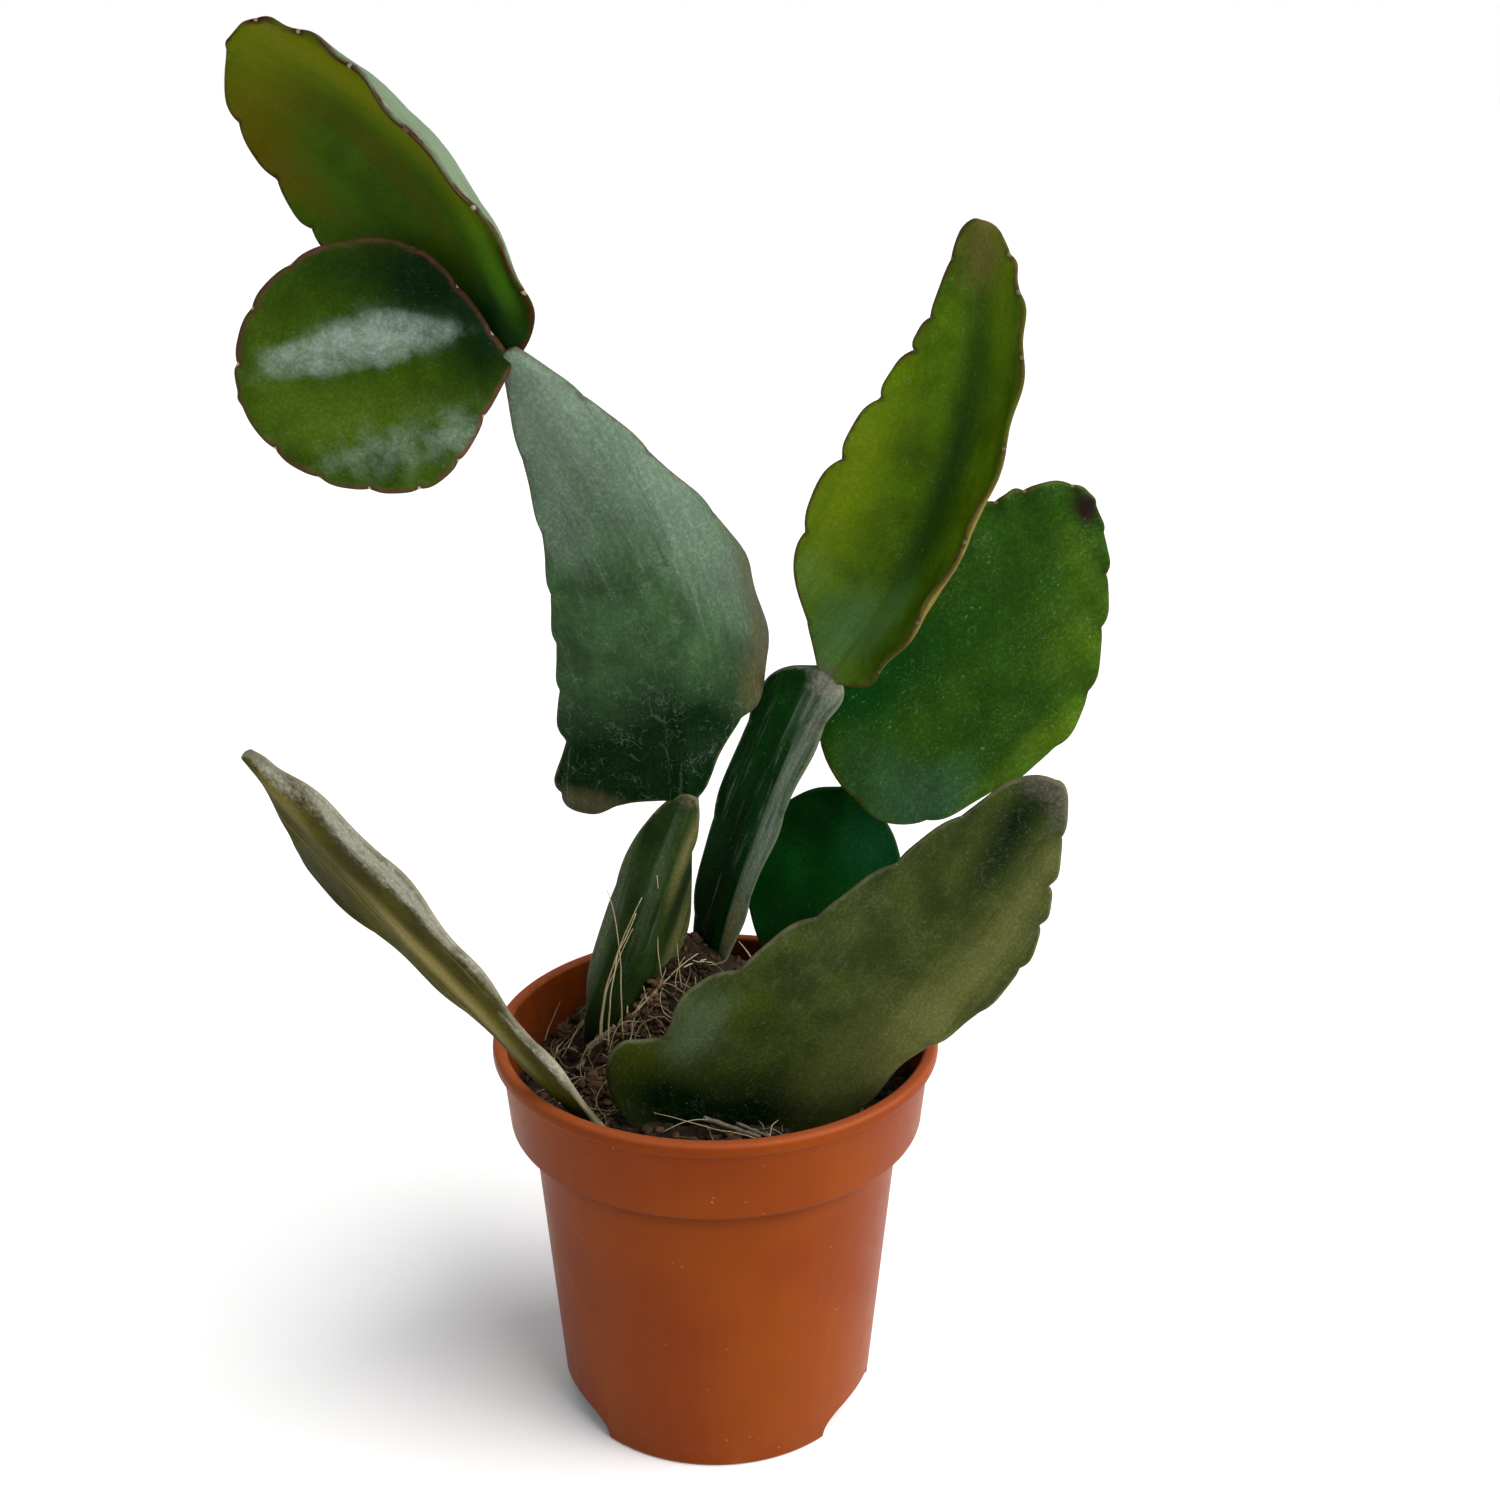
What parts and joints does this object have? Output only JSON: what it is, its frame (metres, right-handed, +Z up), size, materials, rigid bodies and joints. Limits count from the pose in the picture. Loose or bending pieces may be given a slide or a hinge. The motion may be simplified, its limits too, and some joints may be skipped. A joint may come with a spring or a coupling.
{
  "type": "potted rhipsalis cactus",
  "caption": "Jointed cactus with flat, notched, folded and curled green pads rising from a peaty root ball in a tapered nursery pot with a wide collar and rolled lip.",
  "frame": {"origin": "centre of the pot's flat underside", "axes": "+Z up out of the pot; -Y is the side that faced the camera; +X is to the right as seen from there"},
  "size_m": [0.1969, 0.105, 0.3207],
  "materials": {
    "pot": "satin terracotta brown plastic",
    "root_ball": "matt black-brown peat and coir",
    "left_stem": "dark green skin, woody at the base",
    "left_middle": "grey-green skin with a dull bloom",
    "left_top": "olive skin, satin",
    "left_round": "dark green skin, glossy",
    "centre_stem": "dark green skin with a grey corky rib",
    "centre_tall": "yellow-green skin, satin",
    "centre_round": "mid green skin, satin",
    "back_pad": "dark green skin",
    "front_pad": "dark olive skin with a grey bloom",
    "side_pad": "yellow-olive skin with a corky margin"
  },
  "bodies": {
    "root": {"pot": "pot", "root_ball": "root_ball", "left_stem": "left_stem", "left_middle": "left_middle", "left_top": "left_top", "left_round": "left_round", "centre_stem": "centre_stem", "centre_tall": "centre_tall", "centre_round": "centre_round", "back_pad": "back_pad", "front_pad": "front_pad", "side_pad": "side_pad"}
  },
  "joints": []
}
